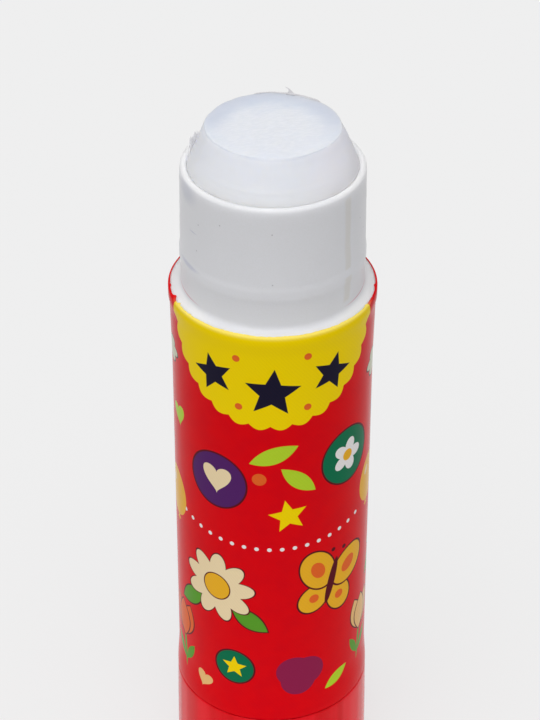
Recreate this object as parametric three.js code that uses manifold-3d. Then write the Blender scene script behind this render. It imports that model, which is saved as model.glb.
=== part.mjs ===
// A twist-up glue stick with its cap off, in millimetres, +Z up, standing on the middle of its foot.
// Turning the knob turns the lift screw, and the carrier, kept from turning by the ribs of the
// barrel, climbs the screw's thread with the glue in its cup.

import * as THREE from "three";
import { mergeVertices } from "three/addons/utils/BufferGeometryUtils.js";
import Module from "manifold-3d";

const wasm = await Module();
wasm.setup();

// Sides of the round forms. Tubes that nest share one count, so that their flats line up.
const ROUND_SIDES = 48;
const SCREW_BORE_SIDES = 24;
const ARC_STEPS = 3;
const FLARE_STEPS = 4;
const WELD = 1e-4; // vertices closer than this are one

// Twist knob
const KNOB_HEIGHT = 16;
const KNOB_SWELL = 0.17; // how much wider the knob is at its foot than at the seam
const KNOB_FLOOR = 2.6;
const KNOB_FOOT_ROUND = 1;
const KNOB_RIM_ROUND = 0.3;
const FOOT_RING_WIDTH = 3;
const FOOT_RECESS = 0.8;
const FOOT_RECESS_SLOPE = 0.6;
const HUB_WALL = 1.9;
const WEB_COUNT = 4;
const WEB_THICKNESS = 1.1;
const WEB_TOP_DROP = 2.4; // from the hub's top down to the webs' top
const WEB_ROOT = 0.6; // how deep a web is rooted in hub, wall and floor

// Inner barrel: bore, neck, rim, snap ridge, shoulder flange and floor
const BORE_R = 12;
const BARREL_WALL = 1.1;
const BODY_LENGTH = 71.8; // from the sleeve's foot to the shoulder
const NECK_LENGTH = 19.4;
const NECK_DRAFT = 0.15; // how much wider the neck is above the ridge than at the rim
const RIM_WALL = 1;
const RIM_LIP = 0.05;
const RIDGE_HEIGHT = 5.6; // from the shoulder to the middle of the cap's snap ridge
const RIDGE_WIDTH = 3.2;
const RIDGE_PROUD = 0.17;
const NECK_FILLET = 0.45;
const FLANGE_PROUD = 0.37; // beyond the sleeve's waist
const FLANGE_THICKNESS = 1.7;
const FLANGE_ROUND = 0.45;
const BARREL_FLOOR = 1.6;
const SPIGOT_LENGTH = 2.8; // how far the barrel reaches down into the knob
const SPIGOT_CHAMFER = 0.5;
const RIB_COUNT = 4;
const RIB_WIDTH = 1.1;
const RIB_HEIGHT = 0.5;
const RIB_TOP_DROP = 12.5; // from the rim down to the ribs' top
const RIB_LEAD_IN = 1.2;
const RIB_ROOT = 0.4; // how deep a rib is rooted in the wall

// Outer sleeve, and the snap bead that keeps it on the barrel
const SLEEVE_WALL = 1.2;
const SLEEVE_FOOT_FLARE = 0.3;
const SLEEVE_FOOT_FADE = 6;
const SLEEVE_TOP_FLARE = 0.18;
const SLEEVE_TOP_FADE = 12;
const SNAP_BEAD_HEIGHT = 5; // from the sleeve's foot to the bead's middle
const SNAP_BEAD_WIDTH = 2;
const SNAP_BEAD_PROUD = 0.3;

// Printed label
const LABEL_THICKNESS = 0.15;
const LABEL_CURL = THREE.MathUtils.degToRad(38); // how far it follows the flange's rounded edge
const LABEL_CURL_STEPS = 3;
const LABEL_STEP_SLOPE = 0.8; // where the film climbs from the sleeve onto the flange

// Lift screw
const THREAD_R = 4.2;
const THREAD_DEPTH = 1;
const THREAD_LEAD = 8; // climb in one turn
const THREAD_STARTS = 2;
const THREAD_SIDES = 12;
const THREAD_FLAT = 1 / 6; // share of half a pitch that is flat at the crest, and as much at the root
const SCREW_TIP_CHAMFER = 0.8;
const COLLAR_R = 5.8;
const COLLAR_THICKNESS = 1.5;
const JOURNAL_R = 2.95;
const KEY_WIDTH = 3.9; // across the flats of the square end
const KEY_LENGTH = 8.4;
const KEY_RIDGE = 0.12;
const KEY_RIDGE_WIDTH = 1;
const KEY_RIDGE_HEIGHT = 2.4; // from the key's end to its snap ridge
const KEY_TAPER = 0.5;

// Glue carrier
const CARRIER_PLATE = 1.6;
const CUP_DEPTH = 4;
const CUP_WALL = 1.1;
const WIPER_PROUD = 0.13;
const WIPER_WIDTH = 1.2;
const WIPER_SLOPE = 0.6;
const SKIRT_LENGTH = 7;
const SKIRT_WALL = 1.1;
const NUT_WALL = 1.4;

// Glue
const GLUE_FILL_DROP = 5.7; // from the rim down to the glue's top when it is wound right in
const GLUE_RISE = 5.95; // from the rim up to the glue's top, as it stands now
const GLUE_OVER_SCREW = 4.6; // glue left over the screw's tip when it is wound right in
const GLUE_TOP_R = 9.2;
const GLUE_BEVEL = 5.8; // down to the mouth of the bore
const GLUE_LIP = 0.45; // how far from its corner the lip of the worn top is rounded
const GLUE_LIP_STEPS = 4;
const GLUE_CROWN = 0.25;

// Clearances
const SLEEVE_GAP = 0.15; // sleeve on barrel, all round
const FLANGE_GAP = 0.1; // sleeve under flange
const LABEL_GAP = 0.05; // film on sleeve and flange
const TURN_GAP = 0.3; // between faces that turn past each other
const SPIGOT_GAP = 0.35; // knob round the barrel's spigot
const JOURNAL_GAP = 0.3;
const KEY_GAP = 0.12;
const THREAD_GAP = 0.35;
const CARRIER_GAP = 0.28; // carrier in the bore
const RIB_GAP = 0.25; // slots round the ribs
const GLUE_GAP = 0.1; // glue in the bore and in the cup
const SCREW_BORE_GAP = 0.5; // glue round the screw
const TIP_GAP = 0.5; // glue over the screw's tip

// Radii that follow from them
const BARREL_R = BORE_R + BARREL_WALL;
const RIM_R = BORE_R + RIM_WALL;
const SLEEVE_BORE_R = BARREL_R + SLEEVE_GAP;
const WAIST_R = SLEEVE_BORE_R + SLEEVE_WALL;
const FLANGE_R = WAIST_R + FLANGE_PROUD;
const KNOB_RIM_R = WAIST_R + SLEEVE_FOOT_FLARE + LABEL_GAP + LABEL_THICKNESS;
const KNOB_FOOT_R = KNOB_RIM_R + KNOB_SWELL;
const KNOB_BORE_R = BARREL_R + SPIGOT_GAP;
const KEY_CORNER_R = KEY_WIDTH / Math.SQRT2;
const HUB_R = KEY_CORNER_R + KEY_RIDGE + HUB_WALL;
const CARRIER_R = BORE_R - CARRIER_GAP;
const CUP_R = CARRIER_R - CUP_WALL;
const NUT_R = THREAD_R + THREAD_GAP + NUT_WALL;
const GLUE_R = BORE_R - GLUE_GAP;
const SCREW_BORE_R = THREAD_R + SCREW_BORE_GAP;

// Heights that follow from them
const SLEEVE_FOOT_Z = KNOB_HEIGHT + TURN_GAP;
const SHOULDER_Z = SLEEVE_FOOT_Z + BODY_LENGTH;
const RIM_Z = SHOULDER_Z + NECK_LENGTH;
const FLANGE_UNDER_Z = SHOULDER_Z - FLANGE_THICKNESS;
const SLEEVE_TOP_Z = FLANGE_UNDER_Z - FLANGE_GAP;
const FLOOR_UNDER_Z = SLEEVE_FOOT_Z - SPIGOT_LENGTH;
const FLOOR_TOP_Z = FLOOR_UNDER_Z + BARREL_FLOOR;
const HUB_TOP_Z = FLOOR_UNDER_Z - TURN_GAP;
const KEY_END_Z = FLOOR_UNDER_Z - KEY_LENGTH;
const COLLAR_UNDER_Z = FLOOR_TOP_Z + TURN_GAP;
const COLLAR_TOP_Z = COLLAR_UNDER_Z + COLLAR_THICKNESS;
const CARRIER_UNDER = CARRIER_PLATE + SKIRT_LENGTH; // from the cup's floor down to the skirt's end
const LOWEST_CUP_Z = COLLAR_TOP_Z + TURN_GAP + CARRIER_UNDER;
const GLUE_LENGTH = RIM_Z - GLUE_FILL_DROP - LOWEST_CUP_Z;
const CUP_Z = RIM_Z + GLUE_RISE - GLUE_LENGTH; // the cup's floor as the stick stands now
const SCREW_TOP_Z = RIM_Z - GLUE_FILL_DROP - GLUE_OVER_SCREW - TIP_GAP;
const RIB_TOP_Z = RIM_Z - RIB_TOP_DROP;

const HALF_TURN = Math.PI;

// Points of a quarter round from one profile point to another: it leaves the first point along the
// height when risesFirst is true, and along the radius when it isn't. The first point is left out.
function quarterRound([fromR, fromZ], [toR, toZ], risesFirst) {
  return shares(ARC_STEPS).map((share) => {
    const angle = share * (HALF_TURN / 2);
    const early = Math.sin(angle);
    const late = 1 - Math.cos(angle);
    return [
      fromR + (toR - fromR) * (risesFirst ? late : early),
      fromZ + (toZ - fromZ) * (risesFirst ? early : late),
    ];
  });
}

// Even shares of a whole, the last one being the whole.
function shares(count) {
  return Array.from({ length: count }, (_, i) => (i + 1) / count);
}

// A low ridge on a wall, as profile points from below to above, flat over the middle third.
function ridge(wallR, middleZ, width, proud) {
  return [
    [wallR, middleZ - width / 2],
    [wallR + proud, middleZ - width / 6],
    [wallR + proud, middleZ + width / 6],
    [wallR, middleZ + width / 2],
  ];
}

// Turns a profile of [radius, height] points round Z. The points run up the outside, and the
// profile either starts and ends on the axis or is closed into a ring.
function revolve(profile, { sides = ROUND_SIDES, ring = false } = {}) {
  const points = (ring ? [...profile, profile[0]] : profile).map(([r, z]) => new THREE.Vector2(r, z));
  return new THREE.LatheGeometry(points, sides).rotateX(HALF_TURN / 2);
}

// A box that stands on a height, reaches out along a direction and is centred across it.
function radialBox(fromR, toR, width, fromZ, toZ, angle) {
  return new THREE.BoxGeometry(toR - fromR, width, toZ - fromZ)
    .translate((fromR + toR) / 2, 0, (fromZ + toZ) / 2)
    .rotateZ(angle);
}

function solidOf(geometry) {
  const bare = geometry.clone();
  bare.deleteAttribute("normal");
  bare.deleteAttribute("uv");
  const merged = mergeVertices(bare, WELD);
  return new wasm.Manifold(
    new wasm.Mesh({
      numProp: 3,
      vertProperties: new Float32Array(merged.attributes.position.array),
      triVerts: new Uint32Array(merged.index.array),
    }),
  );
}

function geometryOf(solid) {
  const { vertProperties, triVerts } = solid.getMesh();
  const geometry = new THREE.BufferGeometry();
  geometry.setAttribute("position", new THREE.BufferAttribute(vertProperties, 3));
  geometry.setIndex(new THREE.BufferAttribute(triVerts, 1));
  geometry.computeVertexNormals();
  return geometry;
}

function joined(first, ...rest) {
  return geometryOf(rest.reduce((sum, next) => sum.add(solidOf(next)), solidOf(first)));
}

function cut(first, ...rest) {
  return geometryOf(rest.reduce((left, next) => left.subtract(solidOf(next)), solidOf(first)));
}

// Angles of equally spaced ribs, webs or slots, the first one an eighth of a turn round.
function anglesOf(count) {
  return Array.from({ length: count }, (_, i) => HALF_TURN / 4 + (i * 2 * HALF_TURN) / count);
}

// How deep the thread lies under its crest, from 0 to 1, at a phase that gains 1 in each pitch.
function threadDepthAt(phase) {
  const fromCrest = 1 - Math.abs(2 * (phase - Math.floor(phase)) - 1);
  return THREE.MathUtils.clamp((fromCrest - THREAD_FLAT) / (1 - 2 * THREAD_FLAT), 0, 1);
}

// The screw's threaded form, right-handed, at least from one height to another and larger all round
// by a gap. Its rows of vertices climb by the thread's rise over one side, so that the edges that run
// across the rows follow the helix, and a nut's form is in mesh with the screw's at any height.
function threadForm(fromZ, toZ, gap) {
  const rise = THREAD_LEAD / THREAD_SIDES;
  const firstRow = Math.floor(fromZ / rise);
  const lastRow = Math.ceil(toZ / rise);
  const positions = [0, 0, firstRow * rise, 0, 0, lastRow * rise];
  for (let row = firstRow; row <= lastRow; row += 1) {
    for (let side = 0; side < THREAD_SIDES; side += 1) {
      const phase = (THREAD_STARTS * (row - side + 0.5)) / THREAD_SIDES;
      const radius = THREAD_R + gap - THREAD_DEPTH * threadDepthAt(phase);
      const angle = (side * 2 * HALF_TURN) / THREAD_SIDES;
      positions.push(radius * Math.cos(angle), radius * Math.sin(angle), row * rise);
    }
  }
  const indices = [];
  const rows = lastRow - firstRow;
  for (let side = 0; side < THREAD_SIDES; side += 1) {
    const next = (side + 1) % THREAD_SIDES;
    const at = (row, column) => 2 + row * THREAD_SIDES + column;
    indices.push(0, at(0, next), at(0, side));
    indices.push(1, at(rows, side), at(rows, next));
    for (let row = 0; row < rows; row += 1) {
      indices.push(at(row, side), at(row, next), at(row + 1, next));
      indices.push(at(row, side), at(row + 1, next), at(row + 1, side));
    }
  }
  const geometry = new THREE.BufferGeometry();
  geometry.setAttribute("position", new THREE.Float32BufferAttribute(positions, 3));
  geometry.setIndex(indices);
  return geometry;
}

// The square end of the screw with its snap ridge, or the socket for it when it is grown by a gap.
function keyForm(topZ, gap) {
  const cornerR = KEY_CORNER_R + gap * Math.SQRT2;
  const endZ = KEY_END_Z - gap;
  const ridgeZ = KEY_END_Z + KEY_RIDGE_HEIGHT;
  const profile = [
    [0, endZ],
    [cornerR - KEY_TAPER, endZ],
    [cornerR, endZ + KEY_TAPER],
    ...ridge(cornerR, ridgeZ, KEY_RIDGE_WIDTH, KEY_RIDGE),
    [cornerR, topZ],
    [0, topZ],
  ];
  return revolve(profile, { sides: 4 });
}

function twistKnob() {
  const ringInnerR = KNOB_FOOT_R - FOOT_RING_WIDTH;
  const wallTopZ = KNOB_HEIGHT - KNOB_RIM_ROUND;
  const wall = shares(FLARE_STEPS).map((share) => [
    KNOB_FOOT_R - KNOB_SWELL * share ** 2,
    THREE.MathUtils.lerp(KNOB_FOOT_ROUND, wallTopZ, share),
  ]);
  const profile = [
    [0, FOOT_RECESS],
    [ringInnerR - FOOT_RECESS_SLOPE, FOOT_RECESS],
    [ringInnerR, 0],
    [KNOB_FOOT_R - KNOB_FOOT_ROUND, 0],
    ...quarterRound([KNOB_FOOT_R - KNOB_FOOT_ROUND, 0], [KNOB_FOOT_R, KNOB_FOOT_ROUND], false),
    ...wall,
    ...quarterRound([KNOB_RIM_R, wallTopZ], [KNOB_RIM_R - KNOB_RIM_ROUND, KNOB_HEIGHT], true),
    [KNOB_BORE_R, KNOB_HEIGHT],
    [KNOB_BORE_R, KNOB_FLOOR],
    [HUB_R, KNOB_FLOOR],
    [HUB_R, HUB_TOP_Z],
    [0, HUB_TOP_Z],
  ];
  const webs = anglesOf(WEB_COUNT).map((angle) =>
    radialBox(
      HUB_R - WEB_ROOT,
      KNOB_BORE_R + WEB_ROOT,
      WEB_THICKNESS,
      KNOB_FLOOR - WEB_ROOT,
      HUB_TOP_Z - WEB_TOP_DROP,
      angle,
    ),
  );
  return cut(joined(revolve(profile), ...webs), keyForm(HUB_TOP_Z + KEY_GAP, KEY_GAP));
}

function liftScrew() {
  const rootZ = COLLAR_UNDER_Z + COLLAR_THICKNESS / 2;
  const envelope = revolve(
    [
      [0, rootZ],
      [THREAD_R + THREAD_GAP, rootZ],
      [THREAD_R + THREAD_GAP, SCREW_TOP_Z - SCREW_TIP_CHAMFER - THREAD_GAP],
      [THREAD_R - SCREW_TIP_CHAMFER, SCREW_TOP_Z],
      [0, SCREW_TOP_Z],
    ],
    { sides: THREAD_SIDES },
  );
  const thread = solidOf(threadForm(rootZ, SCREW_TOP_Z, 0)).intersect(solidOf(envelope));
  const foot = revolve(
    [
      [0, HUB_TOP_Z + KEY_GAP],
      [JOURNAL_R, HUB_TOP_Z + KEY_GAP],
      [JOURNAL_R, COLLAR_UNDER_Z],
      [COLLAR_R, COLLAR_UNDER_Z],
      [COLLAR_R, COLLAR_TOP_Z],
      [0, COLLAR_TOP_Z],
    ],
    { sides: SCREW_BORE_SIDES },
  );
  return joined(foot, geometryOf(thread), keyForm(COLLAR_UNDER_Z, 0));
}

// The ridge-and-slot form that keeps the carrier from turning: a rib of the barrel, or the slot for
// it in the carrier and the glue when it is grown by a gap.
function ribForm(fromZ, toZ, gap, angle) {
  const innerR = BORE_R - RIB_HEIGHT - gap;
  return radialBox(innerR, BORE_R + RIB_ROOT, RIB_WIDTH + 2 * gap, fromZ, toZ, angle);
}

// A barrel rib, whose upper end slopes back to the bore.
function barrelRib(angle) {
  const outline = new THREE.Shape([
    new THREE.Vector2(BORE_R + RIB_ROOT, FLOOR_TOP_Z - RIB_ROOT),
    new THREE.Vector2(BORE_R + RIB_ROOT, RIB_TOP_Z + RIB_LEAD_IN * (RIB_ROOT / RIB_HEIGHT)),
    new THREE.Vector2(BORE_R - RIB_HEIGHT, RIB_TOP_Z - RIB_LEAD_IN),
    new THREE.Vector2(BORE_R - RIB_HEIGHT, FLOOR_TOP_Z - RIB_ROOT),
  ]);
  return new THREE.ExtrudeGeometry(outline, { depth: RIB_WIDTH, bevelEnabled: false })
    .rotateX(HALF_TURN / 2)
    .translate(0, RIB_WIDTH / 2, 0)
    .rotateZ(angle);
}

function innerBarrel() {
  const bearingR = JOURNAL_R + JOURNAL_GAP;
  const neckLowR = RIM_R + NECK_DRAFT;
  const ridgeZ = SHOULDER_Z + RIDGE_HEIGHT;
  const lipR = RIM_R + RIM_LIP;
  const lipRound = RIM_WALL / 2;
  const lipMiddleR = BORE_R + lipRound;
  const flangeEdgeZ = SHOULDER_Z - FLANGE_ROUND;
  const filletR = neckLowR + NECK_FILLET;
  const profile = [
    [bearingR, FLOOR_UNDER_Z],
    [BARREL_R - SPIGOT_CHAMFER, FLOOR_UNDER_Z],
    [BARREL_R, FLOOR_UNDER_Z + SPIGOT_CHAMFER],
    ...ridge(BARREL_R, SLEEVE_FOOT_Z + SNAP_BEAD_HEIGHT, SNAP_BEAD_WIDTH, SNAP_BEAD_PROUD),
    [BARREL_R, FLANGE_UNDER_Z],
    [FLANGE_R, FLANGE_UNDER_Z],
    [FLANGE_R, flangeEdgeZ],
    ...quarterRound([FLANGE_R, flangeEdgeZ], [FLANGE_R - FLANGE_ROUND, SHOULDER_Z], true),
    [filletR, SHOULDER_Z],
    ...quarterRound([filletR, SHOULDER_Z], [neckLowR, SHOULDER_Z + NECK_FILLET], false),
    ...ridge(neckLowR, ridgeZ, RIDGE_WIDTH, RIDGE_PROUD),
    [RIM_R, RIM_Z - 2 * lipRound],
    [lipR, RIM_Z - lipRound],
    ...quarterRound([lipR, RIM_Z - lipRound], [lipMiddleR, RIM_Z], true),
    ...quarterRound([lipMiddleR, RIM_Z], [BORE_R, RIM_Z - lipRound], false),
    [BORE_R, FLOOR_TOP_Z],
    [bearingR, FLOOR_TOP_Z],
  ];
  return joined(revolve(profile, { ring: true }), ...anglesOf(RIB_COUNT).map(barrelRib));
}

// The sleeve's outer radius: a straight waist that flares a little at both ends.
function sleeveRadiusAt(z) {
  const fade = (distance, reach) => 1 - THREE.MathUtils.smoothstep(distance, 0, reach);
  return (
    WAIST_R +
    SLEEVE_FOOT_FLARE * fade(z - SLEEVE_FOOT_Z, SLEEVE_FOOT_FADE) +
    SLEEVE_TOP_FLARE * fade(SLEEVE_TOP_Z - z, SLEEVE_TOP_FADE)
  );
}

// Points up the sleeve's outside between two heights, closer together where it flares.
function sleeveOutside(fromZ, toZ, gap) {
  const footSteps = shares(FLARE_STEPS).map((share) => SLEEVE_FOOT_Z + SLEEVE_FOOT_FADE * share);
  const topSteps = shares(FLARE_STEPS - 1).map((share) => SLEEVE_TOP_Z - SLEEVE_TOP_FADE * share);
  return [fromZ, ...footSteps, ...topSteps.reverse(), toZ].map((z) => [sleeveRadiusAt(z) + gap, z]);
}

function outerSleeve() {
  const bead = ridge(
    SLEEVE_BORE_R,
    SLEEVE_FOOT_Z + SNAP_BEAD_HEIGHT,
    SNAP_BEAD_WIDTH,
    SNAP_BEAD_PROUD,
  );
  const profile = [
    [SLEEVE_BORE_R, SLEEVE_FOOT_Z],
    ...sleeveOutside(SLEEVE_FOOT_Z, SLEEVE_TOP_Z, 0),
    [SLEEVE_BORE_R, SLEEVE_TOP_Z],
    ...bead.reverse(),
  ];
  return revolve(profile, { ring: true });
}

function printedLabel() {
  const edgeZ = SHOULDER_Z - FLANGE_ROUND;
  const curled = (gap, step) => {
    const angle = (LABEL_CURL * step) / LABEL_CURL_STEPS;
    const reach = FLANGE_ROUND + gap;
    return [FLANGE_R - FLANGE_ROUND + reach * Math.cos(angle), edgeZ + reach * Math.sin(angle)];
  };
  const side = (gap) => [
    ...sleeveOutside(SLEEVE_FOOT_Z, SLEEVE_TOP_Z - LABEL_STEP_SLOPE, gap),
    [FLANGE_R + gap, SLEEVE_TOP_Z],
    ...Array.from({ length: LABEL_CURL_STEPS + 1 }, (_, step) => curled(gap, step)),
  ];
  const profile = [...side(LABEL_GAP + LABEL_THICKNESS), ...side(LABEL_GAP).reverse()];
  return revolve(profile, { ring: true });
}

// The carrier in its own frame, its cup's floor at height 0. The nut is cut where the screw stands
// in that frame, so the two threads are in mesh.
function glueCarrier() {
  const skirtInnerR = CARRIER_R - SKIRT_WALL;
  const profile = [
    [0, -CARRIER_UNDER],
    [NUT_R, -CARRIER_UNDER],
    [NUT_R, -CARRIER_PLATE],
    [skirtInnerR, -CARRIER_PLATE],
    [skirtInnerR, -CARRIER_UNDER],
    [CARRIER_R, -CARRIER_UNDER],
    [CARRIER_R, CUP_DEPTH - WIPER_WIDTH - WIPER_SLOPE],
    [CARRIER_R + WIPER_PROUD, CUP_DEPTH - WIPER_WIDTH],
    [CARRIER_R + WIPER_PROUD, CUP_DEPTH],
    [CUP_R, CUP_DEPTH],
    [CUP_R, 0],
    [0, 0],
  ];
  const slots = anglesOf(RIB_COUNT).map((angle) =>
    ribForm(-CARRIER_UNDER - RIB_GAP, CUP_DEPTH + RIB_GAP, RIB_GAP, angle),
  );
  const screwHole = threadForm(CUP_Z - CARRIER_UNDER - THREAD_LEAD, CUP_Z + THREAD_LEAD, THREAD_GAP);
  return cut(revolve(profile), ...slots, screwHole.translate(0, 0, -CUP_Z));
}

// The glue in the carrier's frame. Its lower end fills the cup, the ribs have pressed slots into it
// up to where they reach when it is wound right in, and its top is worn to a bevel with a low crown.
function gluePlug() {
  const cupR = CUP_R - GLUE_GAP;
  const bevelFoot = new THREE.Vector2(GLUE_R, GLUE_LENGTH - GLUE_CROWN - GLUE_BEVEL);
  const corner = new THREE.Vector2(GLUE_TOP_R, GLUE_LENGTH - GLUE_CROWN);
  const lip = new THREE.QuadraticBezierCurve(
    corner.clone().lerp(bevelFoot, GLUE_LIP / corner.distanceTo(bevelFoot)),
    corner,
    new THREE.Vector2(GLUE_TOP_R - GLUE_LIP, GLUE_LENGTH - GLUE_CROWN),
  ).getPoints(GLUE_LIP_STEPS);
  const profile = [
    [0, GLUE_GAP],
    [cupR, GLUE_GAP],
    [cupR, CUP_DEPTH + GLUE_GAP],
    [GLUE_R, CUP_DEPTH + GLUE_GAP],
    [GLUE_R, bevelFoot.y - GLUE_LIP / 2],
    bevelFoot.toArray(),
    ...lip.map((point) => point.toArray()),
    [GLUE_TOP_R / 2, GLUE_LENGTH - GLUE_CROWN / 4],
    [0, GLUE_LENGTH],
  ];
  const screwBore = revolve(
    [
      [0, -GLUE_GAP],
      [SCREW_BORE_R, -GLUE_GAP],
      [SCREW_BORE_R, SCREW_TOP_Z - LOWEST_CUP_Z + TIP_GAP],
      [0, SCREW_TOP_Z - LOWEST_CUP_Z + TIP_GAP],
    ],
    { sides: SCREW_BORE_SIDES },
  );
  const slotTop = RIB_TOP_Z - LOWEST_CUP_Z + RIB_GAP;
  const slots = anglesOf(RIB_COUNT).map((angle) => ribForm(-GLUE_GAP, slotTop, RIB_GAP, angle));
  return cut(revolve(profile), screwBore, ...slots);
}

const whitePlastic = new THREE.MeshStandardMaterial({ color: 0xe9e9ec, roughness: 0.35 });
const bluntWhitePlastic = new THREE.MeshStandardMaterial({ color: 0xdededf, roughness: 0.5 });
const redFilm = new THREE.MeshStandardMaterial({ color: 0xc80a18, roughness: 0.25 });
const redPlastic = new THREE.MeshStandardMaterial({ color: 0xbe1a22, roughness: 0.2 });
const screwPlastic = new THREE.MeshStandardMaterial({ color: 0xd8d8d6, roughness: 0.5 });
const glue = new THREE.MeshStandardMaterial({ color: 0xdfe3ec, roughness: 0.6 });

function piece(name, geometry, material) {
  const mesh = new THREE.Mesh(geometry, material);
  mesh.name = name;
  return mesh;
}

const housing = new THREE.Group().add(
  piece("inner_barrel", innerBarrel(), whitePlastic),
  piece("outer_sleeve", outerSleeve(), bluntWhitePlastic),
  piece("printed_label", printedLabel(), redFilm),
);

const drive = new THREE.Group().add(
  piece("twist_knob", twistKnob(), redPlastic),
  piece("lift_screw", liftScrew(), screwPlastic),
);

const lift = new THREE.Group().add(
  piece("glue_carrier", glueCarrier(), screwPlastic),
  piece("glue_plug", gluePlug(), glue),
);
lift.position.z = CUP_Z;

const glueStick = new THREE.Group().add(housing, drive, lift);

export default glueStick;
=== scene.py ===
"""A twist-up glue stick with its cap off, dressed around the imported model.

Sizes are in millimetres until they reach Blender, which gets metres. Z is up, the label's main
field faces -Y, and angles round the stick are counted from -Y towards +X.
"""

import math
from math import cos, radians, sin

import bmesh
import bpy
import numpy as np
from mathutils import Matrix, Vector, noise


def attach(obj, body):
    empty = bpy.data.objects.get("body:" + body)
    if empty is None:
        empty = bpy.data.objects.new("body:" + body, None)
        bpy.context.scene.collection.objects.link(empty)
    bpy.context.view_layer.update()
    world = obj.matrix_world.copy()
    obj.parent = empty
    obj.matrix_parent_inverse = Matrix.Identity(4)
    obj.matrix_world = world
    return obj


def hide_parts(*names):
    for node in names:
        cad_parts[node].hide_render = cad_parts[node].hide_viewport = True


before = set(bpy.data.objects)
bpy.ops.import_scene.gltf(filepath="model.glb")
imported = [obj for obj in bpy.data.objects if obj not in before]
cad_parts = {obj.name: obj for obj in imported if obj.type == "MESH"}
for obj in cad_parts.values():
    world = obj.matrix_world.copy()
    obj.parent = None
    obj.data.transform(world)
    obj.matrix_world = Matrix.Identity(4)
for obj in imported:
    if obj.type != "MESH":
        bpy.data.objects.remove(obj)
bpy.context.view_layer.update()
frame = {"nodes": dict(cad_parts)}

MM = 0.001
FULL_TURN = 2 * math.pi
SHARP_EDGE = radians(32)
SAME_PLACE = 0.0005 * MM

# Knob
KNOB_HEIGHT = 16.0
KNOB_FOOT_R = 15.12
KNOB_RIM_R = 14.95
KNOB_FOOT_ROUND = 1.0
KNOB_RIM_ROUND = 0.3
KNOB_BORE_R = 13.45
KNOB_FLOOR = 2.6
FOOT_RING_R = 12.12
FOOT_RECESS = 0.8
FOOT_RECESS_SLOPE = 0.6
HUB_R = 4.78
HUB_TOP = 13.2
WEB_HALF_WIDTH = 0.55
WEB_TOP = 10.8
SOCKET_CORNER_R = 2.93
SOCKET_END = 4.98
GROOVE_DEPTH = 0.14
GROOVE_HEIGHT = 7.5
GROOVE_HALF_WIDTH = 0.5
GROOVE_FLOOR_HALF_WIDTH = 0.2

# Barrel
BORE_R = 12.0
BARREL_R = 13.1
BEARING_R = 3.25
BARREL_FOOT = 13.5
BARREL_FLOOR_TOP = 15.1
SPIGOT_CHAMFER = 0.5
SNAP_BEAD = (21.3, 2.0, 0.3)
FLANGE_R = 14.82
FLANGE_UNDER = 86.4
FLANGE_ROUND = 0.45
SHOULDER = 88.1
NECK_FOOT_R = 13.15
NECK_FILLET = 0.8
SNAP_RIDGE = (93.7, 3.2, 0.14)
LIP_R = 13.05
LIP_INNER_ROUND = 0.4
LIP_OUTER_ROUND = 0.5
# Under the lip the neck swells outward very slightly, as an arc of this radius and angle.
LIP_TAIL_ROUND = 8
LIP_TAIL_TURN = 7
RIM = 107.42
RIB_HALF_WIDTH = 0.55
RIB_CREST_R = 11.5
RIB_TOP = 95.0
RIB_LEAD_IN = 1.2

# Sleeve's outside and label
SLEEVE_FOOT = 16.3
SLEEVE_TOP = 86.3
WAIST_R = 14.45
FOOT_FLARE = (0.3, 6.0)
TOP_FLARE = (0.18, 12.0)
FILM_GAP = 0.05
FILM_THICKNESS = 0.15
FILM_FOOT = 16.22
FILM_COLUMNS = 480
FILM_FOOT_CHAMFER = 0.04
FILM_EDGE_THINNED = 0.07
FILM_EDGE_PRESSED = 0.02
FILM_SEAM_STEP = 0.07
FILM_SEAM_RAMP = radians(9)
PRINT_R = 14.65

# Glue
GLUE_R = 11.995
GLUE_FOOT = 37.55
CUP_R = 10.52
CUP_TOP = 41.55
GLUE_BORE_R = 4.7
GLUE_BORE_TOP = 108.85
SLOT_HALF_WIDTH = 0.8
SLOT_FLOOR_R = 11.25
SLOT_TOP = 106.9
BEVEL_FOOT = 107.32
GLUE_TOP_R = 9.2
GLUE_TOP_SHIFT = 0.52
GLUE_TOP_WIDER = 0.2
GLUE_TOP_BULGE = 0.25
GLUE_TOP = 113.16
GLUE_EDGE_ROUND = 0.14
GLUE_EDGE_RUBBED = 0.5
GLUE_CROWN = 0.22


def linear(red, green, blue):
    """A screen colour, 0 to 255, as Blender's linear RGBA."""
    shares = [channel / 255 for channel in (red, green, blue)]
    return (*[s / 12.92 if s <= 0.04045 else ((s + 0.055) / 1.055) ** 2.4 for s in shares], 1.0)


def on_cylinder(radius, angle, height):
    return (radius * sin(angle), -radius * cos(angle), height)


def smooth(value, low, high):
    """Rises smoothly from 0 at low to 1 at high."""
    share = min(max((value - low) / (high - low), 0.0), 1.0)
    return share * share * (3 - 2 * share)


def add_object(name, data):
    added = bpy.data.objects.new(name, data)
    bpy.context.scene.collection.objects.link(added)
    return added


# Camera: the photograph's own, found from the rims, the shoulder and the seam.
FOCAL_LENGTH = 120.82
SENSOR = 36.0
CAMERA_PLACE = Vector((-0.363, -290.40, 276.87)) * MM
CAMERA_PITCH = 0.6099
CAMERA_ROLL = 0.0021


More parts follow.
